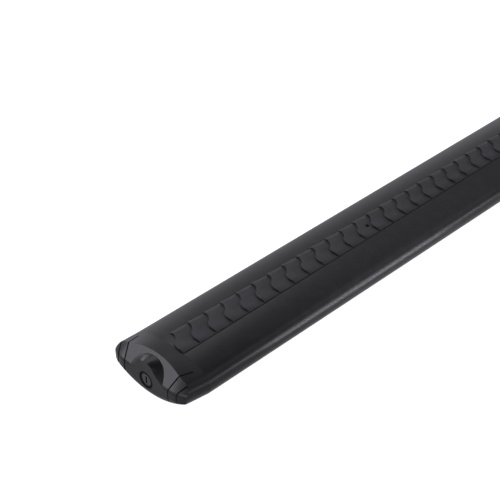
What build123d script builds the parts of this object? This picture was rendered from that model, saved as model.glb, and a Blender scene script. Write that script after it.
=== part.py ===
from build123d import *
import os
from math import ceil, sqrt

# Driving dimensions in millimetres.
# X runs along the bar, Y from front to back, Z up; the bar rests on Z = 0.

# Aluminium extrusion
bar_length = 1200.0
chord = 71.5
height = 28.0
nose_radius = 10.0
underside_flat = 22.0
skin = 2.0
inner_corner = 0.8

# Channels of the extrusion
slot_width = 23.0
slot_wall = 2.0
strip_recess_depth = 2.8
lip = 2.3
top_mouth = 11.0
top_slot_depth = 4.0
web = 1.8
leg_mouth = 12.0
leg_lip = 2.6

# Rubber strip along the top
strip_width = 21.4
strip_side_gap = 0.5
strip_body = 2.0
strip_foot_gap = 0.3
strip_barb_overhang = 2.0
strip_barb_depth = 1.5
strip_barb_gap = 0.15
strip_hole = 3.0
strip_hole_from_end = 193.0

# Scales of the strip, with an S-shaped front edge between two straight ends
scale_pitch = 15.0
scale_rise = 1.7
scale_tail = 0.25
scale_overlap = 0.25
scale_sweep = 8.1
scale_straight_front = 5.3
scale_straight_back = 2.1
scale_shoulder = 2.5
scale_shoulder_drop = 0.9

# Moulded end cap
cap_length = 23.5
cap_rise = 3.8
cap_lift = 0.4
cap_narrowing = 1.2
cap_wall = 2.6
cap_corner_inset = 14.0
cap_brow_drop = 10.9
cap_slope = 1.28
brow_radius = 5.0
chin_radius = 6.0
chin_arc = 62.0
chin_drop = 4.6
spigot_length = 20.0
spigot_gap = 0.25
spigot_wall = 1.8
tongue_gap = 0.3

# Grooves of the end cap, placed by their distance from the nose; the long one runs out short of the joint
groove_width = 1.0
groove_depth = 0.7
groove_knee_drop = 1.1
groove_run_out = 6.0
groove_start_inset = 9.7
groove_knee_inset = 11.4
groove_end_inset = 14.9
corner_knee_inset = 3.8
corner_end_inset = 8.3

# Bell-shaped lock face: outlines as shares of the half width and of the rise from foot to crest
bell_over_top = 0.2
bell_depth = 9.5
bell_foot_drop = 1.0
bell_half_width = 19.2
bell_outline = ((0.745, 0.254), (0.461, 0.574), (0.243, 0.900))
arch_foot_rise = 4.1
arch_half_width = 30.0
arch_outline = ((0.80, 0.32), (0.567, 0.60), (0.333, 0.82))

# Quarter-turn lock in each cap
lock_axis_drop = 0.8
lock_recess = 0.35
head_diameter = 9.1
head_length = 4.6
seal_wall = 1.8
seal_length = 2.4
seal_recess = 0.1
head_shoulder = 0.85
boss_wall = 1.6
boss_rear = 8.0
fit = 0.05
head_play = 0.1
key_slot_width = 1.4
key_slot_length = 5.8
key_slot_depth = 12.0
clip_thickness = 0.8
clip_overlap = 1.6
clip_grip = 0.8
clip_play = 0.2
clip_land = 2.0
clip_mouth = 4.5
tail_step = 1.5
tail_flat_depth = 0.6
cam_start = 7.5
cam_thickness = 3.0
cam_width = 3.6
cam_catch = 1.4
cam_eye_wall = 1.05
cam_window_play = 1.2
screw_diameter = 2.0
screw_length = 8.0
screw_head_diameter = 5.0
screw_head_height = 1.6
screw_hex = 1.5
screw_hex_depth = 0.8

# Derived sizes
half_bar = bar_length / 2
half_chord = chord / 2
middle = height / 2
slot_half = slot_width / 2
recess_floor = height - strip_recess_depth
top_slot_ceiling = recess_floor - lip
top_slot_floor = top_slot_ceiling - top_slot_depth
leg_channel_ceiling = top_slot_floor - web
nose_chamber_start = slot_half + slot_wall
strip_base = recess_floor + strip_body
strip_half = strip_width / 2
recess_half = strip_half + strip_side_gap
cap_brow = height - cap_brow_drop
lock_axis_z = middle - lock_axis_drop
bell_crest = height + bell_over_top
brow_start = cap_brow - brow_radius * (sqrt(1 + cap_slope**2) - cap_slope)
bell_foot = brow_start - bell_foot_drop
arch_foot = bell_foot + arch_foot_rise
body_diameter = head_diameter - 2 * head_shoulder
seal_diameter = head_diameter + 2 * seal_wall
tail_diameter = body_diameter - 2 * tail_step
tail_flats = tail_diameter - 2 * tail_flat_depth
cam_end = cam_start + cam_thickness
cam_reach = top_slot_floor + cam_catch - lock_axis_z
past = 2 * chord
tiny = 0.01


def oval(half_width, low, high, nose, flat):
    """Section in the YZ plane: flat underside, crowned top and two round noses, all tangent."""
    centre = (low + high) / 2
    half_height = (high - low) / 2
    nose_y = half_width - nose
    bulge = half_height**2 - nose**2
    room = 2 * (half_height - nose)
    top_radius = (nose_y**2 + bulge) / room
    base_radius = ((nose_y - flat / 2) ** 2 + bulge) / room
    nose_centre = Vector(nose_y, centre)
    top_centre = Vector(0, high - top_radius)
    base_centre = Vector(flat / 2, low + base_radius)
    base_start = Vector(flat / 2, low)
    top_end = nose_centre + (nose_centre - top_centre).normalized() * nose
    base_end = nose_centre + (nose_centre - base_centre).normalized() * nose
    base_way = (base_start - base_centre) + (base_end - base_centre)
    base_middle = base_centre + base_way.normalized() * base_radius
    nose_tip = Vector(half_width, centre)

    def mirrored(point):
        return Vector(-point.X, point.Y)

    edges = [
        Line(mirrored(base_start), base_start),
        ThreePointArc(base_start, base_middle, base_end),
        ThreePointArc(base_end, nose_tip, top_end),
        ThreePointArc(top_end, Vector(0, high), mirrored(top_end)),
        ThreePointArc(mirrored(top_end), mirrored(nose_tip), mirrored(base_end)),
        ThreePointArc(mirrored(base_end), mirrored(base_middle), mirrored(base_start)),
    ]
    return make_face(edges)


def bar_oval(inset):
    """The bar's own section, moved inwards by inset all round."""
    return oval(half_chord - inset, inset, height - inset, nose_radius - inset, underside_flat)


def slab(half_width, low, high):
    """Upright rectangle on the section's centre line."""
    return Pos(0, (low + high) / 2) * Rectangle(2 * half_width, high - low)


def chamber(half_width, low, high):
    """Rectangle on the centre line with rounded corners."""
    return Pos(0, (low + high) / 2) * RectangleRounded(2 * half_width, high - low, inner_corner)


def nose_chambers(inset, start):
    """The two hollow noses of the section, on both sides of the channels."""
    return bar_oval(inset) - slab(start, -past, past)


def along_bar(sketch, start, end):
    """Extrude a YZ sketch along X from start to end."""
    return extrude(Plane.YZ.offset(start) * sketch, end - start)


def on_axis(sketch):
    """Place a sketch on the lock's axis, which points along X."""
    return Pos(0, lock_axis_z) * sketch


def rod(diameter, start, end):
    """Round bar on the lock's axis."""
    return along_bar(on_axis(Circle(diameter / 2)), start, end)


# Extrusion: hollow noses, a slot for the strip on top and a channel for the legs below
section = bar_oval(0)
section -= nose_chambers(skin, nose_chamber_start)
section -= slab(recess_half, recess_floor, past)
section -= slab(top_mouth / 2, top_slot_ceiling - tiny, recess_floor + tiny)
section -= chamber(slot_half, top_slot_floor, top_slot_ceiling)
section -= chamber(slot_half, leg_lip, leg_channel_ceiling)
section -= slab(leg_mouth / 2, -past, leg_lip + tiny)
extrusion = along_bar(section, -half_bar, half_bar)

# A window near each end of the web lets the lock's cam swing up behind it
window_x = half_bar - (cam_start + cam_end) / 2
window = Box(
    cam_thickness + 2 * cam_window_play,
    2 * (cam_reach + cam_window_play),
    web + 2 * tiny,
)
for side in (-1, 1):
    extrusion -= Pos(side * window_x, 0, leg_channel_ceiling + web / 2) * window


# Top strip: a clip-in rubber profile whose top is a row of overlapping scales
def scale_front(shift, half_width):
    """S-shaped front edge of one scale in plan, from the front side to the back side."""
    start = scale_straight_front - strip_half
    end = strip_half - scale_straight_back
    half_run = (end - start) / 2
    half_sweep = scale_sweep / 2
    centre_y = (start + end) / 2
    chord_tangent = half_sweep / half_run
    turn_sine = 2 * chord_tangent / (1 + chord_tangent**2)
    turn_cosine = sqrt(1 - turn_sine**2)
    radius = half_run / turn_sine
    bow = radius * (1 - sqrt((1 + turn_cosine) / 2))
    bow_run = radius * sqrt((1 - turn_cosine) / 2)
    return [
        Line((shift, -half_width), (shift, start)),
        ThreePointArc(
            (shift, start),
            (shift + bow, start + bow_run),
            (shift + half_sweep, centre_y),
        ),
        ThreePointArc(
            (shift + half_sweep, centre_y),
            (shift + scale_sweep - bow, end - bow_run),
            (shift + scale_sweep, end),
        ),
        Line((shift + scale_sweep, end), (shift + scale_sweep, half_width)),
    ]


def scale():
    """One scale with its front edge at X = 0: steep in front, falling gently to its tail."""
    back = scale_pitch + scale_overlap
    outline = scale_front(0, strip_half) + scale_front(back, strip_half)
    outline.append(Line((0, -strip_half), (back, -strip_half)))
    outline.append(Line((scale_sweep, strip_half), (back + scale_sweep, strip_half)))
    top = strip_base + scale_rise
    root = strip_base - strip_body / 2
    block = extrude(Pos(0, 0, root) * make_face(outline), top - root)
    fall = (scale_rise - scale_tail) / scale_pitch
    lean = scale_sweep / strip_width
    ramp = Plane(
        origin=(scale_sweep / 2, 0, top),
        x_dir=(lean, 1, 0),
        z_dir=(fall, -fall * lean, 1),
    )
    block = split(block, bisect_by=ramp, keep=Keep.BOTTOM)
    shoulder_half = strip_half - scale_shoulder
    shoulder_low = top - scale_shoulder_drop
    shoulders = make_face(
        Polyline(
            (-strip_half, root),
            (-strip_half, shoulder_low),
            (-shoulder_half, top + tiny),
            (shoulder_half, top + tiny),
            (strip_half, shoulder_low),
            (strip_half, root),
            close=True,
        )
    )
    return block & along_bar(shoulders, -back, 2 * back + scale_sweep)


foot_half = top_mouth / 2 - strip_foot_gap
barb_half = top_mouth / 2 + strip_barb_overhang
barb_top = top_slot_ceiling - strip_barb_gap
barb_low = barb_top - strip_barb_depth
strip_profile = slab(strip_half, recess_floor, strip_base)
strip_profile += slab(foot_half, barb_low, recess_floor + tiny)
strip_profile += make_face(
    Polyline(
        (-barb_half, barb_top),
        (barb_half, barb_top),
        (foot_half, barb_low),
        (-foot_half, barb_low),
        close=True,
    )
)
one_scale = scale()
scale_count = ceil(bar_length / scale_pitch)
scales = [Pos(number * scale_pitch - half_bar, 0, 0) * one_scale for number in range(scale_count)]
top_strip = along_bar(strip_profile, -half_bar, half_bar).fuse(*scales)

# Both ends of the strip follow the front edge of a scale
left_end = scale_front(-half_bar, strip_half)
right_end = [Rot(0, 0, 180) * edge for edge in left_end]
strip_plan = make_face(
    [
        *left_end,
        *right_end,
        Line((-half_bar, -strip_half), (half_bar - scale_sweep, -strip_half)),
        Line((half_bar, strip_half), (scale_sweep - half_bar, strip_half)),
    ]
)
top_strip &= extrude(strip_plan, past)
for side in (-1, 1):
    hole_x = side * (half_bar - strip_hole_from_end)
    top_strip -= Pos(hole_x, 0, middle) * Cylinder(strip_hole / 2, past)


# End cap, modelled with its joint to the bar on X = 0 and its outer end at X = -cap_length
def end_form(inset):
    """The cap's sloping end seen from the side, carried round the plan's rounded corners."""
    end = inset - cap_length
    brow_low = cap_brow - inset
    flat_half = half_chord - cap_corner_inset
    profile = make_face(
        Polyline(
            (0, -height),
            (end, -height),
            (end, brow_low),
            (0, brow_low - cap_slope * end),
            close=True,
        )
    )
    brow = profile.vertices().filter_by(lambda v: v.X < end / 2).sort_by(Axis.Y)[-1]
    profile = fillet(brow, brow_radius)
    flank = Plane.XZ.offset(-flat_half) * profile
    corner = revolve(flank, Axis((0, flat_half, 0), (0, 0, -1)), 90)
    return extrude(flank, 2 * flat_half) + corner + mirror(corner, Plane.XZ)


def chin_form(inset):
    """The cap's rounded lower edge, turned about a high axis so that it rises to the noses."""
    end = inset - cap_length
    axis_z = cap_lift + chin_arc
    low = cap_lift + inset
    rounding_start = (end + chin_radius, low)
    rounding_end = (end, low + chin_radius)
    profile = make_face(
        [
            Line((0, axis_z), (0, low - chin_drop)),
            Line((0, low - chin_drop), rounding_start),
            RadiusArc(rounding_start, rounding_end, chin_radius),
            Line(rounding_end, (end, axis_z)),
            Line((end, axis_z), (0, axis_z)),
        ]
    )
    return revolve(Plane.XZ * profile, Axis((0, 0, axis_z), (1, 0, 0)), 360)


def cap_form(inset):
    """Outer shape of the cap without its lock face, moved inwards by inset."""
    joint = Plane.YZ * bar_oval(inset)
    far = oval(
        half_chord - cap_narrowing - inset,
        cap_lift + inset,
        height + cap_rise - inset,
        nose_radius - inset,
        underside_flat,
    )
    sleeve = loft([joint, Plane.YZ.offset(-cap_length) * far], ruled=True)
    return sleeve & end_form(inset) & chin_form(inset)


def arched(half_width, foot, outline):
    """Arch that rises from its two feet to the crest, on a low base."""
    rise = bell_crest - foot
    right = [(half_width, foot)]
    right += [(half_width * across, foot + rise * up) for across, up in outline]
    left = [(-y, z) for y, z in reversed(right)]
    crest = Spline(*right, (0, bell_crest), *left)
    low = bell_foot - bell_foot_drop
    base = Polyline(left[-1], (-half_width, low), (half_width, low), right[0])
    return make_face([*crest.edges(), *base.edges()])


def lock_face():
    """Bell-shaped face that carries the lock, widening as it runs back into the slope."""
    near = Plane.YZ.offset(-cap_length) * arched(bell_half_width, bell_foot, bell_outline)
    arch = arched(arch_half_width, arch_foot, arch_outline)
    back = Plane.YZ.offset(bell_depth - cap_length) * arch
    return loft([near, back], ruled=True)


def groove_plate(path, low):
    """Thin upright plate that follows a path in plan, from low up past the cap's top."""
    half = groove_width / 2
    near_side = [(x, y - half) for x, y in path]
    far_side = [(x, y + half) for x, y in reversed(path)]
    outline = make_face(Polyline(*near_side, *far_side, close=True))
    return extrude(Pos(0, 0, low) * outline, past)


# The cap's skin with its lock face and thin grooves, which bend where the slope begins
cap_skin = cap_form(0)
cap = cap_skin + lock_face()
groove_shell = cap_skin - cap_form(groove_depth)
knee_x = (height - groove_knee_drop - cap_brow) / cap_slope - cap_length
start_point = (-groove_run_out, half_chord - groove_start_inset)
knee_point = (knee_x, half_chord - groove_knee_inset)
end_point = (-cap_length, half_chord - groove_end_inset)
corner_knee_point = (knee_x, half_chord - corner_knee_inset)
corner_end_point = (-cap_length, half_chord - corner_end_inset)
long_groove = groove_plate([start_point, knee_point], middle)
long_groove += groove_plate([knee_point, end_point], 0)
corner_groove = groove_plate([corner_knee_point, corner_end_point], 0)
for plate in (long_groove, corner_groove):
    cut = plate & groove_shell
    cap -= cut
    cap -= mirror(cut, Plane.XZ)

# Hollow spigots that plug into the bar's noses, and the room round the lock
spigot_start = nose_chamber_start + spigot_gap
spigots = nose_chambers(skin + spigot_gap, spigot_start)
cores = nose_chambers(skin + spigot_gap + spigot_wall, spigot_start + spigot_wall)
inner_form = cap_form(cap_wall)
cap += along_bar(spigots, -cap_wall, spigot_length)
cap -= along_bar(cores, -cap_length, 0) & inner_form
cap -= along_bar(cores, -cap_wall, spigot_length + tiny)
lock_room = chamber(slot_half, leg_lip, top_slot_ceiling)
cap -= along_bar(lock_room, -cap_length, 0) & inner_form

# Tongue over the top slot, up to the first scale of the strip
tongue_half = recess_half - fit
tongue_plan = make_face(
    [
        *scale_front(-tongue_gap, tongue_half),
        Line((-tongue_gap, -tongue_half), (-cap_wall, -tongue_half)),
        Line((-cap_wall, -tongue_half), (-cap_wall, tongue_half)),
        Line((-cap_wall, tongue_half), (scale_sweep - tongue_gap, tongue_half)),
    ]
)
tongue_section = bar_oval(0) & slab(tongue_half, recess_floor + spigot_gap, past)
cap += along_bar(tongue_section, -cap_wall, scale_sweep) & extrude(tongue_plan, past)

# Lock places along X, counted from the joint
seal_front = -cap_length + seal_recess
seal_seat = seal_front + seal_length
head_front = -cap_length + lock_recess
head_seat = head_front + head_length
clip_front = -boss_rear + clip_play
clip_back = clip_front + clip_thickness
body_end = clip_back + clip_land
tail_end = cam_end - clip_play
screw_hole_end = cam_end - screw_length
clip_groove_diameter = body_diameter - 2 * clip_grip

# Boss behind the lock face with stepped bores for the seal, the head and the body
cap += rod(seal_diameter + 2 * boss_wall, -cap_length + cap_wall / 2, -boss_rear)
cap -= rod(seal_diameter + 2 * fit, -past, seal_seat)
cap -= rod(head_diameter + 2 * fit, -past, head_seat + head_play)
cap -= rod(body_diameter + 2 * fit, -cap_length, 0)

lock_seal = rod(seal_diameter, seal_front, seal_seat)
lock_seal -= rod(head_diameter + 2 * fit, -past, 0)

# Barrel: head with its key slot, running body, clip groove and a tail with two flats
tail_section = on_axis(Circle(tail_diameter / 2))
tail_section &= on_axis(Rectangle(tail_flats, 2 * tail_diameter))
lock_barrel = rod(head_diameter, head_front, head_seat)
lock_barrel += rod(body_diameter, head_seat - tiny, body_end)
clip_groove = rod(past, clip_front, clip_back)
clip_groove -= rod(clip_groove_diameter, clip_front, clip_back)
lock_barrel -= clip_groove
lock_barrel += rod(tail_diameter, body_end - tiny, cam_start)
lock_barrel += along_bar(tail_section, cam_start - tiny, tail_end)
key_slot = on_axis(Rectangle(key_slot_width, key_slot_length))
lock_barrel -= along_bar(key_slot, head_front - tiny, head_front + key_slot_depth)
lock_barrel -= rod(screw_diameter + 2 * fit, screw_hole_end, cam_end)

# Retaining clip: an open spring ring in the barrel's groove, behind the boss
clip_section = on_axis(Circle(body_diameter / 2 + clip_overlap))
clip_section -= on_axis(Circle(clip_groove_diameter / 2 + fit))
clip_section -= slab(clip_mouth / 2, lock_axis_z - body_diameter, lock_axis_z)
lock_clip = along_bar(clip_section, clip_front + fit, clip_back - fit)

# Cam: a flat tongue that stands up behind the web when the lock is closed
cam_tip_z = lock_axis_z + cam_reach - cam_width / 2
cam_section = slab(cam_width / 2, lock_axis_z, cam_tip_z)
cam_section += Pos(0, cam_tip_z) * Circle(cam_width / 2)
cam_section += on_axis(Circle(tail_diameter / 2 + fit + cam_eye_wall))
cam_hole = on_axis(Circle(tail_diameter / 2 + fit))
cam_hole &= on_axis(Rectangle(tail_flats + 2 * fit, 2 * tail_diameter))
lock_cam = along_bar(cam_section - cam_hole, cam_start, cam_end)

# Socket screw that holds the cam on the tail
cam_screw = rod(screw_diameter, screw_hole_end + clip_play, cam_end + tiny)
screw_head_end = cam_end + screw_head_height
cam_screw += rod(screw_head_diameter, cam_end, screw_head_end)
hex_socket = on_axis(RegularPolygon(screw_hex / 2, 6, major_radius=False))
cam_screw -= along_bar(hex_socket, screw_head_end - screw_hex_depth, screw_head_end + tiny)

# One set of end pieces for each end; the right set is the left set turned half round
end_pieces = {
    "end_cap": cap,
    "lock_seal": lock_seal,
    "lock_barrel": lock_barrel,
    "lock_clip": lock_clip,
    "lock_cam": lock_cam,
    "cam_screw": cam_screw,
}
nodes = {"extrusion": extrusion, "top_strip": top_strip}
for name, piece in end_pieces.items():
    nodes["left_" + name] = Pos(-half_bar, 0, 0) * piece
    nodes["right_" + name] = Pos(half_bar, 0, 0) * Rot(0, 0, 180) * piece

os.makedirs("parts", exist_ok=True)
for name, piece in nodes.items():
    export_step(piece, "parts/" + name + ".step")
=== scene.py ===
# %% [markdown]
# # A roof rack crossbar, dressed for a studio picture
#
# A crossbar carries loads on a car roof. It is a hollow aluminium extrusion with a rounded, wing-like section, a rubber
# strip in its top slot, and a moulded cap with a small lock at each end. The engineering model already holds every
# piece at its true size, and we load it first as a fixed frame. Everything we add has to sit in that frame, so we keep
# the size of its box to compare with at the end.

# %% Load the frame
from math import asin, atan2, degrees, radians, sin, sqrt

import bmesh
import bpy
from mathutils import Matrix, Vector


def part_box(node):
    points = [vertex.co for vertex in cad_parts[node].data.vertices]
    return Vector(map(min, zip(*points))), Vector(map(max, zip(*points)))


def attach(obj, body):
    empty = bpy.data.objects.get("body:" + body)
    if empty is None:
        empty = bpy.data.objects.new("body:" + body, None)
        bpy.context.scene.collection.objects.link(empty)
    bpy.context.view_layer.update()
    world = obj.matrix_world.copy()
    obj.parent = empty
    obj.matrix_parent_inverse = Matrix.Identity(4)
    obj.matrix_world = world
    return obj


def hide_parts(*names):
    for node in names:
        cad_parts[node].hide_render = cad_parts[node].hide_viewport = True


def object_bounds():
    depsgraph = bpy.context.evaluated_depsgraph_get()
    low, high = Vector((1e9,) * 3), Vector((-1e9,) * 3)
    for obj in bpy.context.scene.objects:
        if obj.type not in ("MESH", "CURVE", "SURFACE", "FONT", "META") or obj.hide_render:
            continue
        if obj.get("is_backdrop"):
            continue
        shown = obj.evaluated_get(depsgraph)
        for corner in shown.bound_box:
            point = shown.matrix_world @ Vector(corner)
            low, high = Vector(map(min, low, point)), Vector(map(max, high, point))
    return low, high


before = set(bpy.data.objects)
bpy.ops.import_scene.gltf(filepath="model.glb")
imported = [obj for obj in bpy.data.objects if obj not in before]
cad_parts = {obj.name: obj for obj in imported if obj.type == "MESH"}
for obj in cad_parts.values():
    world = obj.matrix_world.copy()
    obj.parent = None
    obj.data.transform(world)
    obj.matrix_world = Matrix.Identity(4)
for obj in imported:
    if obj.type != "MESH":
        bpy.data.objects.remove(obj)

cad_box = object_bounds()
print("nodes:", ", ".join(sorted(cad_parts)))

# %% [markdown]
# ## Drawing with a point
#
# Extruded and moulded lengths are easiest to make as a maker would: draw the outline once, then pull it along. Blender
# has no line tool that works without a window, but a plane whose corners are merged leaves one point, extruding that
# point draws a straight line, and spinning it draws an arc. Spin turns the other way round than the right-hand rule
# says, so the helper flips the sign once and for all. Sizes below are in millimetres, while Blender works in metres.

# %% Drawing helpers
MM = 0.001
TOUCH = 0.01  # mm; closer points count as one
ALONG_BAR = (1, 0, 0)
UPWARDS = (0, 0, 1)


def start_outline(name, point):
    """A new piece in edit mode that is one selected point."""
    bpy.ops.object.select_all(action="DESELECT")
    bpy.ops.mesh.primitive_plane_add(size=MM)
    piece = bpy.context.object
    piece.name = name
    piece.data.name = name
    bpy.ops.object.mode_set(mode="EDIT")
    bpy.ops.mesh.select_mode(type="VERT")
    bpy.ops.mesh.select_all(action="SELECT")
    bpy.ops.mesh.merge(type="CENTER")
    bpy.ops.transform.translate(value=Vector(point) * MM)
    return piece


def pen_point(piece):
    """Place of the one selected point."""
    return next(v.co for v in bmesh.from_edit_mesh(piece.data).verts if v.select)


def draw_line(piece, *points):
    """Straight lines from the pen through the given points."""
    for point in points:
        step = Vector(point) * MM - pen_point(piece)
        bpy.ops.mesh.extrude_region_move(TRANSFORM_OT_translate={"value": step})


def draw_arc(centre, axis, angle, steps):
    """Arc from the pen round a centre; a positive angle follows the right-hand rule."""
    bpy.ops.mesh.spin(steps=steps, angle=-radians(angle), center=Vector(centre) * MM, axis=axis)


def pull(vector):
    """Extrude what is selected along a vector."""
    bpy.ops.mesh.extrude_region_move(TRANSFORM_OT_translate={"value": Vector(vector) * MM})


def apply_modifier(piece, kind, **settings):
    """Add one modifier, set it and apply it at once."""
    bpy.context.view_layer.objects.active = piece
    modifier = piece.modifiers.new(kind.lower(), kind)
    for setting, value in settings.items():
        setattr(modifier, setting, value)
    bpy.ops.object.modifier_apply(modifier=modifier.name)


def cut_with(piece, tool, operation="DIFFERENCE"):
    """Boolean between a piece and a tool body, which is then thrown away."""
    apply_modifier(piece, "BOOLEAN", object=tool, operation=operation, solver="EXACT")
    bpy.data.objects.remove(tool)


def tell(piece):
    """Print what a piece became."""
    print(f"{piece.name}: {len(piece.data.vertices)} points, {len(piece.data.polygons)} faces")


# %% [markdown]
# ## The bar's section
#
# The real bar is pressed through a die, so its section is the same all along: a flat underside, round noses, a crowned
# top, a slot for the rubber strip and a deep channel for the roof legs. The arcs are tangent, so their radii and angles
# follow from a few sizes. We draw the right half from the web outwards and let a Mirror modifier make the left half.
# The loaded solid has the same form, but its curves are coarse because the bar is so long, and that shows in a gloss.

# %% Outline of half the section
half_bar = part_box("extrusion")[1].x / MM
half_chord, height, nose_radius, flat_half, skin = 35.75, 28.0, 10.0, 11.0, 2.0
recess_floor, recess_half, mouth_half, lip = 25.2, 11.2, 5.5, 2.3
slot_half, corner, slot_floor, web = 11.5, 0.8, 18.9, 1.8
leg_mouth_half, leg_lip, slot_wall = 6.0, 2.6, 2.0
corner_steps, base_steps, nose_steps, top_steps = 4, 10, 32, 8

nose_y = half_chord - nose_radius
middle = height / 2
bulge = middle**2 - nose_radius**2
spare_height = 2 * (middle - nose_radius)
top_radius = (nose_y**2 + bulge) / spare_height
base_radius = ((nose_y - flat_half) ** 2 + bulge) / spare_height
top_centre = height - top_radius
base_turn = degrees(atan2(nose_y - flat_half, base_radius - middle))
top_turn = degrees(atan2(nose_y, middle - top_centre))
nose_turn = 180 - base_turn - top_turn
recess_turn = degrees(asin(recess_half / top_radius))


def at(y, z):
    """A point on the bar's left end."""
    return (-half_bar, y, z)


def round_corner(y, z):
    """Quarter arc round an inner corner of a channel."""
    draw_arc(at(y, z), ALONG_BAR, -90, corner_steps)


inner = slot_half - corner
ceiling = slot_floor - web
slot_ceiling = recess_floor - lip
bar = start_outline("bar_shell", at(0, ceiling))
draw_line(bar, at(inner, ceiling))
round_corner(inner, ceiling - corner)
draw_line(bar, at(slot_half, leg_lip + corner))
round_corner(inner, leg_lip + corner)
draw_line(bar, at(leg_mouth_half, leg_lip), at(leg_mouth_half, 0), at(flat_half, 0))
draw_arc(at(flat_half, base_radius), ALONG_BAR, base_turn, base_steps)
draw_arc(at(nose_y, middle), ALONG_BAR, nose_turn, nose_steps)
draw_arc(at(0, top_centre), ALONG_BAR, top_turn - recess_turn, top_steps)
draw_line(bar, at(recess_half, recess_floor), at(mouth_half, recess_floor))
draw_line(bar, at(mouth_half, slot_ceiling), at(inner, slot_ceiling))
round_corner(inner, slot_ceiling - corner)
draw_line(bar, at(slot_half, slot_floor + corner))
round_corner(inner, slot_floor + corner)
draw_line(bar, at(0, slot_floor))
bpy.ops.object.mode_set(mode="OBJECT")
print(f"top radius {top_radius:.2f} mm, nose turns {nose_turn:.1f} degrees")
tell(bar)

# %% [markdown]
# ## The hollow noses and the full length
#
# Each nose is hollow, with the same arcs moved inwards by the skin. That loop is drawn as a second outline and joined
# to the first. Fill understands a loop inside a loop as a hole, so one call closes the section, and one extrusion makes
# the bar. A block then cuts a window in the web near each end, where the lock's cam swings through.

# %% Nose chamber, mirror, fill and extrude
chamber_y = slot_half + slot_wall
chamber_nose_steps, chamber_steps = 24, 8
inner_top = top_radius - skin
inner_base = base_radius - skin
chamber_top = top_centre + sqrt(inner_top**2 - chamber_y**2)
chamber_low = base_radius - sqrt(inner_base**2 - (chamber_y - flat_half) ** 2)
chamber_base_turn = base_turn - degrees(asin((chamber_y - flat_half) / inner_base))
chamber_top_turn = top_turn - degrees(asin(chamber_y / inner_top))
chamber = start_outline("nose_chamber", at(chamber_y, chamber_top))
draw_line(chamber, at(chamber_y, chamber_low))
draw_arc(at(flat_half, base_radius), ALONG_BAR, chamber_base_turn, chamber_steps)
draw_arc(at(nose_y, middle), ALONG_BAR, nose_turn, chamber_nose_steps)
draw_arc(at(0, top_centre), ALONG_BAR, chamber_top_turn, chamber_steps)
bpy.ops.object.mode_set(mode="OBJECT")
bar.select_set(True)
bpy.context.view_layer.objects.active = bar
bpy.ops.object.join()
apply_modifier(bar, "MIRROR", use_axis=(False, True, False))
bpy.ops.object.mode_set(mode="EDIT")
bpy.ops.mesh.select_all(action="SELECT")
bpy.ops.mesh.remove_doubles(threshold=TOUCH * MM)
bpy.ops.mesh.fill()
bpy.ops.mesh.select_all(action="SELECT")
pull((2 * half_bar, 0, 0))
bpy.ops.mesh.select_all(action="SELECT")
bpy.ops.mesh.normals_make_consistent(inside=False)
bpy.ops.object.mode_set(mode="OBJECT")
tell(bar)

# %% Windows in the web
window_size = (5.4, 16.6, 3 * web)
window_from_end = 9.0
sharp_bar_edge = 30  # degrees
for side in (-1, 1):
    bpy.ops.object.select_all(action="DESELECT")
    place = Vector((side * (half_bar - window_from_end), 0, slot_floor - web / 2)) * MM
    bpy.ops.mesh.primitive_cube_add(size=MM, location=place, scale=window_size)
    cut_with(bar, bpy.context.object)
bar.select_set(True)
bpy.context.view_layer.objects.active = bar
bpy.ops.object.shade_smooth_by_angle(angle=radians(sharp_bar_edge))
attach(bar, "bar")
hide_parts("extrusion")
tell(bar)

# %% [markdown]
# ## One scale of the rubber strip
#
# The strip keeps a load from sliding. Its top is a row of scales, like shingles: each has an S-shaped front edge that
# stands up and a ramp that falls to the foot of the next. We draw the S once with two arcs, pull it backwards into the
# ramp and downwards into the front wall, lower the ends for the strip's shoulders, and round the crest with a bevel,
# since moulded rubber has no knife edges. The S meets itself one pitch on, so an array can weld the row together.

# %% One scale
pitch, sweep = 15.0, 8.1
strip_half, crest, tail = 10.7, 28.9, 27.45
front_straight, back_straight, shoulder, shoulder_drop = 5.3, 2.1, 2.5, 0.9
crest_rounding, crest_segments, s_steps = 0.3, 3, 9
s_start = front_straight - strip_half
s_end = strip_half - back_straight
s_turn = 2 * degrees(atan2(sweep, s_end - s_start))
s_radius = (s_end - s_start) / 2 / sin(radians(s_turn))


def s_edge(name, x, z, past_side=0):
    """The S-shaped edge of a scale, drawn from the front side of the strip to the back."""
    edge = start_outline(name, (x, -strip_half - past_side, z))
    draw_line(edge, (x, shoulder - strip_half, z), (x, s_start, z))
    draw_arc((x + s_radius, s_start, z), UPWARDS, -s_turn, s_steps)
    draw_arc((x + sweep - s_radius, s_end, z), UPWARDS, s_turn, s_steps)
    draw_line(edge, (x + sweep, strip_half + past_side, z))
    bpy.ops.mesh.select_all(action="SELECT")
    return edge


def select_where(piece, test):
    """Select the points whose place, in millimetres, passes a test."""
    bpy.ops.mesh.select_all(action="DESELECT")
    bpy.ops.mesh.select_mode(type="VERT")
    mesh = bmesh.from_edit_mesh(piece.data)
    for point in mesh.verts:
        point.select_set(test(point.co / MM))
    mesh.select_flush_mode()
    bmesh.update_edit_mesh(piece.data)


strip = s_edge("rubber_strip", -half_bar, crest)
pull((0, 0, tail - crest))
select_where(strip, lambda p: p.z > crest - TOUCH)
pull((pitch, 0, tail - crest))
select_where(strip, lambda p: p.z > crest - TOUCH and abs(p.y) > strip_half - TOUCH)
bpy.ops.transform.translate(value=(0, 0, -shoulder_drop * MM))
shoulder_low = crest - shoulder_drop - TOUCH
select_where(strip, lambda p: p.z > shoulder_low)
bpy.ops.mesh.select_mode(type="EDGE")
bpy.ops.mesh.bevel(offset=crest_rounding * MM, segments=crest_segments, affect="EDGES")
bpy.ops.object.mode_set(mode="OBJECT")
print(f"the S turns {s_turn:.1f} degrees on a radius of {s_radius:.2f} mm")
tell(strip)

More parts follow.
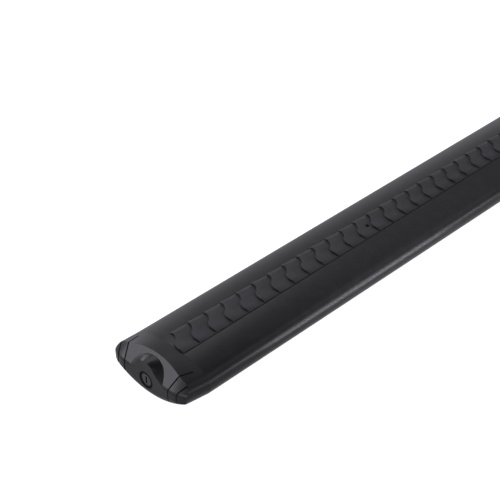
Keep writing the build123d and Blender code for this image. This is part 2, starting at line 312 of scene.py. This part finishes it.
# %% [markdown]
# ## The row of scales and the strip's body
#
# The row is an Array modifier with its copies welded. What is still open is the rim all round. We pull that down, all
# but its upright edges, which would only make faces without area. A cut at the height of the scales' feet gives
# neighbouring side faces the same corners, so that merging can sew them together. A second cut levels the underside,
# and one face closes it. The real strip also has a foot with barbs that clicks into the slot below; we draw its
# profile, pull it along and unite the two.

# %% Row, body and foot
scale_count = round(2 * half_bar / pitch)
apply_modifier(
    strip, "ARRAY", count=scale_count, use_relative_offset=False, use_constant_offset=True,
    constant_offset_displace=(pitch * MM, 0, 0), use_merge_vertices=True, merge_threshold=2 * TOUCH * MM,
)
bpy.ops.object.mode_set(mode="EDIT")
bpy.ops.mesh.select_mode(type="EDGE")
bpy.ops.mesh.select_all(action="DESELECT")
bpy.ops.mesh.select_non_manifold()
for edge in bmesh.from_edit_mesh(strip.data).edges:
    start, end = (corner_point.co.xy for corner_point in edge.verts)
    if (end - start).length < TOUCH * MM:
        edge.select_set(False)
pull((0, 0, -height))
for level, below_goes in ((tail, False), (recess_floor, True)):
    bpy.ops.mesh.select_all(action="SELECT")
    level_point = Vector((0, 0, level)) * MM
    bpy.ops.mesh.bisect(
        plane_co=level_point, plane_no=UPWARDS, clear_inner=below_goes, threshold=TOUCH / 10 * MM,
    )
bpy.ops.mesh.select_all(action="SELECT")
bpy.ops.mesh.remove_doubles(threshold=TOUCH * MM)
bpy.ops.mesh.select_all(action="DESELECT")
bpy.ops.mesh.select_non_manifold()
bpy.ops.mesh.edge_face_add()
bpy.ops.mesh.select_all(action="SELECT")
bpy.ops.mesh.normals_make_consistent(inside=False)
bpy.ops.object.mode_set(mode="OBJECT")
tell(strip)

foot_half, foot_top, barb_half, barb_top, barb_low = 5.2, 26.2, 7.5, 22.75, 21.25
foot_start = -half_bar + sweep
foot = start_outline("strip_foot", (foot_start, -foot_half, foot_top))
foot_profile = (
    (-foot_half, barb_top), (-barb_half, barb_top), (-foot_half, barb_low),
    (foot_half, barb_low), (barb_half, barb_top), (foot_half, barb_top), (foot_half, foot_top),
)
draw_line(foot, *((foot_start, y, z) for y, z in foot_profile))
bpy.ops.mesh.select_all(action="SELECT")
bpy.ops.mesh.edge_face_add()
pull((-2 * foot_start, 0, 0))
bpy.ops.mesh.select_all(action="SELECT")
bpy.ops.mesh.normals_make_consistent(inside=False)
bpy.ops.object.mode_set(mode="OBJECT")
cut_with(strip, foot, "UNION")
tell(strip)

# %% [markdown]
# ## The far end and the holes
#
# The strip's far end is cut along the same S turned half round, because both caps reach over the slot with the same
# tongue. A tool body made from the S does that. Two small holes let a hook pull the strip out of its slot.

# %% Far end and holes
trim_length, trim_height, trim_past_side = 2 * pitch, 2 * height, 1
trim = s_edge("end_trim", -half_bar, 0, trim_past_side)
pull((-trim_length, 0, 0))
bpy.ops.mesh.select_all(action="SELECT")
pull((0, 0, trim_height))
bpy.ops.mesh.select_all(action="SELECT")
bpy.ops.transform.rotate(value=radians(180), orient_axis="Z", center_override=(0, 0, 0))
bpy.ops.mesh.normals_make_consistent(inside=False)
bpy.ops.object.mode_set(mode="OBJECT")
cut_with(strip, trim)

hole_radius, hole_sides, hole_from_end = 1.5, 32, 193.0
sharp_strip_edge = 35  # degrees
for side in (-1, 1):
    bpy.ops.object.select_all(action="DESELECT")
    place = Vector((side * (half_bar - hole_from_end), 0, height)) * MM
    bpy.ops.mesh.primitive_cylinder_add(
        vertices=hole_sides, radius=hole_radius * MM, depth=height * MM, location=place,
    )
    cut_with(strip, bpy.context.object)
strip.select_set(True)
bpy.context.view_layer.objects.active = strip
bpy.ops.object.shade_smooth_by_angle(angle=radians(sharp_strip_edge))
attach(strip, "bar")
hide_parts("top_strip")
tell(strip)

# %% [markdown]
# ## Finishes
#
# All finishes are dark, so they differ by how they shine. Each is one Principled shader whose colour, roughness and
# relief come from noise in the object's own coordinates, in metres, so a scale of 3000 gives grains of a third of a
# millimetre. One helper wires the nodes, and each finish then sets what is special about it. A Bevel node rounds the
# edges of the loaded solids in the shading, as a mould or a deburred edge would.

# %% Finish helper
MOTTLE_TO_GRAIN = 40  # the colour's patches are this many grains wide
MOTTLE_DETAIL, GRAIN_DETAIL = 4, 3
DARK_UP_TO, LIGHT_FROM = 0.35, 0.7  # noise levels between which the two colours blend
EDGE_SAMPLES = 6


def finish_nodes(name, dark, light, rough, grain_scale, grain_depth=0.0, edge_radius=0.0):
    """A Principled finish with noise in its colour, roughness and relief; returns the shader to refine."""
    material = bpy.data.materials.new(name)
    material.use_nodes = True
    nodes, links = material.node_tree.nodes, material.node_tree.links
    shader = nodes["Principled BSDF"]
    place = nodes.new("ShaderNodeTexCoord")

    mottle = nodes.new("ShaderNodeTexNoise")
    mottle.inputs["Scale"].default_value = grain_scale / MOTTLE_TO_GRAIN
    mottle.inputs["Detail"].default_value = MOTTLE_DETAIL
    links.new(place.outputs["Object"], mottle.inputs["Vector"])
    colours = nodes.new("ShaderNodeValToRGB")
    colours.color_ramp.elements[0].position = DARK_UP_TO
    colours.color_ramp.elements[1].position = LIGHT_FROM
    colours.color_ramp.elements[0].color = (*dark, 1)
    colours.color_ramp.elements[1].color = (*light, 1)
    links.new(mottle.outputs["Fac"], colours.inputs["Fac"])
    links.new(colours.outputs["Color"], shader.inputs["Base Color"])

    grain = nodes.new("ShaderNodeTexNoise")
    grain.inputs["Scale"].default_value = grain_scale
    grain.inputs["Detail"].default_value = GRAIN_DETAIL
    links.new(place.outputs["Object"], grain.inputs["Vector"])
    roughness = nodes.new("ShaderNodeMapRange")
    roughness.inputs["To Min"].default_value = rough[0]
    roughness.inputs["To Max"].default_value = rough[1]
    links.new(grain.outputs["Fac"], roughness.inputs["Value"])
    links.new(roughness.outputs["Result"], shader.inputs["Roughness"])

    relief = nodes.new("ShaderNodeBump")
    relief.inputs["Strength"].default_value = 1.0
    relief.inputs["Distance"].default_value = grain_depth * MM
    links.new(grain.outputs["Fac"], relief.inputs["Height"])
    if edge_radius:
        edges = nodes.new("ShaderNodeBevel")
        edges.samples = EDGE_SAMPLES
        edges.inputs["Radius"].default_value = edge_radius * MM
        links.new(edges.outputs["Normal"], relief.inputs["Normal"])
    links.new(relief.outputs["Normal"], shader.inputs["Normal"])
    return material, shader


def dress(finish, *pieces):
    """Give pieces one finish in all their slots."""
    for piece in pieces:
        piece.data.materials.clear()
        piece.data.materials.append(finish)


def loaded(*names):
    """Loaded solids of both ends by their short names."""
    return [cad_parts[side + "_" + name] for name in names for side in ("left", "right")]


# %% [markdown]
# ## Coat and rubber
#
# The bar has a black satin coat, a thin film that mirrors softly. The strip is black rubber, duller and with a coarser
# grain. Both keep a low specular level, because such films and rubbers mirror less than clear plastic does. The hidden
# solids behind our two pieces get the same finishes, so that no piece is left plain.

# %% Coat and rubber
black_coat, shader = finish_nodes(
    "black_coat", dark=(0.015, 0.015, 0.016), light=(0.020, 0.020, 0.021), rough=(0.27, 0.34),
    grain_scale=5000, grain_depth=0.003,
)
shader.inputs["Specular IOR Level"].default_value = 0.18
dress(black_coat, bar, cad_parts["extrusion"])

strip_rubber, shader = finish_nodes(
    "strip_rubber", dark=(0.030, 0.030, 0.032), light=(0.038, 0.038, 0.041), rough=(0.42, 0.5),
    grain_scale=2600, grain_depth=0.01,
)
shader.inputs["Specular IOR Level"].default_value = 0.14
dress(strip_rubber, strip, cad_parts["top_strip"])
print("finishes:", black_coat.name, strip_rubber.name)

# %% [markdown]
# ## Cap and lock
#
# The caps are moulded from black plastic with a fine grain from the mould. The barrel's face is painted metal, and the
# ring round it is soft rubber, so matt that it reads as a black line.

# %% Cap and lock
cap_moulding, shader = finish_nodes(
    "cap_moulding", dark=(0.007, 0.007, 0.008), light=(0.011, 0.011, 0.012), rough=(0.28, 0.36),
    grain_scale=2200, grain_depth=0.006, edge_radius=0.15,
)
shader.inputs["Specular IOR Level"].default_value = 0.2
dress(cap_moulding, *loaded("end_cap"))

seal_rubber, shader = finish_nodes(
    "seal_rubber", dark=(0.003, 0.003, 0.003), light=(0.006, 0.006, 0.006), rough=(0.6, 0.75),
    grain_scale=3000, grain_depth=0.012, edge_radius=0.15,
)
shader.inputs["Specular IOR Level"].default_value = 0.03
dress(seal_rubber, *loaded("lock_seal"))

lock_face, shader = finish_nodes(
    "lock_face", dark=(0.010, 0.010, 0.011), light=(0.015, 0.015, 0.016), rough=(0.34, 0.46),
    grain_scale=3000, grain_depth=0.006, edge_radius=0.15,
)
shader.inputs["Specular IOR Level"].default_value = 0.45
dress(lock_face, *loaded("lock_barrel"))
print("finishes:", cap_moulding.name, seal_rubber.name, lock_face.name)

# %% [markdown]
# ## Bare metal inside
#
# Behind each lock face sit a spring clip, a cam and the cam's screw. They are bright metal and show only from inside
# the bar, but a part that can be taken apart needs its finish on every piece.

# %% Bare metal
spring_steel, shader = finish_nodes(
    "spring_steel", dark=(0.42, 0.42, 0.44), light=(0.55, 0.55, 0.57), rough=(0.25, 0.4),
    grain_scale=2500, grain_depth=0.004, edge_radius=0.1,
)
shader.inputs["Metallic"].default_value = 1.0
dress(spring_steel, *loaded("lock_clip"))

zinc_plate, shader = finish_nodes(
    "zinc_plate", dark=(0.5, 0.5, 0.49), light=(0.64, 0.64, 0.66), rough=(0.3, 0.5),
    grain_scale=1800, grain_depth=0.006, edge_radius=0.15,
)
shader.inputs["Metallic"].default_value = 1.0
dress(zinc_plate, *loaded("lock_cam", "cam_screw"))
print("finishes:", spring_steel.name, zinc_plate.name)

# %% [markdown]
# ## Floor
#
# The studio floor is a light table: a pale sheet that glows from below, so the shadow under the bar stays faint. A
# smooth dark bar would mirror that white ground as a broad band along its lower half. In a studio, black cards would
# cover the table there; here the floor's ray visibility keeps it out of all mirror images.

# %% Floor
bpy.ops.object.select_all(action="DESELECT")
floor_width, floor_glow = 30, 0.98
bpy.ops.mesh.primitive_plane_add(size=floor_width)
floor = bpy.context.object
floor.name = "studio_floor"
pale, shader = finish_nodes(
    "pale_sheet", dark=(0.2, 0.2, 0.2), light=(0.22, 0.22, 0.22), rough=(0.6, 0.7), grain_scale=60,
)
shader.inputs["Emission Color"].default_value = (1, 1, 1, 1)
shader.inputs["Emission Strength"].default_value = floor_glow
dress(pale, floor)
floor.visible_glossy = False
floor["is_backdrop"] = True
print("floor:", floor_width, "m wide")

# %% [markdown]
# ## Light
#
# A dark, satin object is drawn by what it mirrors, so each soft box stands where we want a highlight. The left box
# lights the sloping crescent of the near cap, and the end and corner boxes lift its lock face and near corner. Boxes
# behind and overhead draw the fall-off across the crown, and a low rim box brightens the far edge. Two boxes lie in
# the table and face up: they draw the thin line along the bar's nose. The camera doesn't see the boxes themselves.
# The three boxes at the near end are linked to the near cap, its lock and the floor. Seen from the far end, the long
# bar would otherwise mirror them at a flat angle and look grey. A higher box, linked to the strip, picks out the steps
# of its scales.

# %% Soft boxes
LAMP_COLOUR = (0.93, 0.93, 1.0)


def soft_box(name, place, target, width, depth, power, lit_pieces=None):
    """A rectangular area light that looks at a target and may be linked to some pieces only."""
    bpy.ops.object.light_add(type="AREA", location=place)
    lamp = bpy.context.object
    lamp.name = name
    lamp.data.shape = "RECTANGLE"
    lamp.data.size = width
    lamp.data.size_y = depth
    lamp.data.energy = power
    lamp.data.color = LAMP_COLOUR
    lamp.visible_camera = False
    lamp.light_linking.receiver_collection = lit_pieces
    lamp.rotation_euler = (Vector(target) - Vector(place)).to_track_quat("-Z", "Y").to_euler()


end_pieces = bpy.data.collections.new("end_pieces")
end_pieces.objects.link(floor)
for name in ("left_end_cap", "left_lock_seal", "left_lock_barrel"):
    end_pieces.objects.link(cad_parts[name])
strip_alone = bpy.data.collections.new("strip_alone")
strip_alone.objects.link(strip)
near_cap = (-0.61, 0, 0.015)
near_half = (-0.35, 0, 0.03)
middle_top = (0, 0, 0.03)
# Each box: its place and what it looks at, its width and depth in metres, its power in watts, and what it is linked to.
soft_box("left_box", (-2.03, 1.11, 0.62), near_cap, 1.2, 1.0, 25.7, end_pieces)
soft_box("end_box", (-2.3, 0.1, 0.6), near_cap, 0.8, 0.8, 6.1, end_pieces)
soft_box("corner_box", (-2.0, -0.7, 0.35), near_cap, 1.0, 0.5, 9, end_pieces)
soft_box("back_left_box", (-0.55, 1.9, 0.65), near_cap, 1.9, 1.0, 15.1)
soft_box("back_strip", (1.6, 1.9, 0.3), middle_top, 4.0, 0.5, 8.2)
soft_box("back_rim", (-0.1, 2.2, 0.12), (-0.1, 0, 0.02), 3.0, 0.22, 1.5)
soft_box("back_box", (1.6, 1.75, 0.95), middle_top, 4.0, 0.8, 5.2)
soft_box("overhead_box", (1.1, 0.2, 1.75), near_half, 2.2, 0.9, 5.8)
soft_box("cap_box", (0.1, 0.95, 1.3), near_cap, 0.9, 0.7, 5.7)
soft_box("step_box", (-1.61, 0.98, 1.15), near_half, 1.0, 0.6, 9, strip_alone)
soft_box("front_box", (0.3, -1.4, 1.3), middle_top, 3.0, 0.8, 7.7)
soft_box("table_glow", (-0.15, -0.42, 0.0015), (-0.15, -0.42, 1), 0.5, 0.2, 18)
soft_box("table_line", (-0.41, -0.095, 0.001), (-0.41, -0.095, 1), 0.2, 0.03, 0.32)

# %% [markdown]
# ## Room
#
# What no box covers is a dim room. It is brighter below the horizon than above, as over a pale ground. The world's
# direction vector gives the height, and a Map Range node blends the two levels.

# %% Room
below_horizon, above_horizon, blend_height = 0.6, 0.1, 0.2
world = bpy.data.worlds.new("dim_room")
bpy.context.scene.world = world
world.use_nodes = True
nodes, links = world.node_tree.nodes, world.node_tree.links
direction = nodes.new("ShaderNodeTexCoord")
split = nodes.new("ShaderNodeSeparateXYZ")
room_light = nodes.new("ShaderNodeMapRange")
room_light.inputs["From Min"].default_value = -blend_height
room_light.inputs["From Max"].default_value = blend_height
room_light.inputs["To Min"].default_value = below_horizon
room_light.inputs["To Max"].default_value = above_horizon
links.new(direction.outputs["Generated"], split.inputs["Vector"])
links.new(split.outputs["Z"], room_light.inputs["Value"])
links.new(room_light.outputs["Result"], nodes["Background"].inputs["Strength"])
nodes["Background"].inputs["Color"].default_value = (0.96, 0.96, 1, 1)
print("room:", world.name)

# %% [markdown]
# ## Camera
#
# The picture looks down on the near end from the front corner with a long lens, so the bar runs out of the frame
# towards the upper right.

# %% Camera
camera_place = (-1.0316, -0.5033, 0.5740)
camera_turn = (54.563, 0.205, -45.144)  # degrees
long_lens, film_width = 95.2, 36  # mm
bpy.ops.object.camera_add(location=camera_place)
camera = bpy.context.object
camera.name = "studio_camera"
camera.rotation_euler = [radians(turn) for turn in camera_turn]
camera.data.sensor_width = film_width
camera.data.lens = long_lens
bpy.context.scene.camera = camera
bpy.context.scene.view_settings.view_transform = "Standard"
print(f"lens {camera.data.lens:.1f} mm")

# %% [markdown]
# ## Check and finish
#
# The dressed bar has to stay inside the box of the engineering model, so the script prints how much that box grows.

# %% Finish
dressed_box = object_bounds()
growth = (dressed_box[1] - dressed_box[0]) - (cad_box[1] - cad_box[0])
print("box grows by", [round(side / MM, 2) for side in growth], "mm")
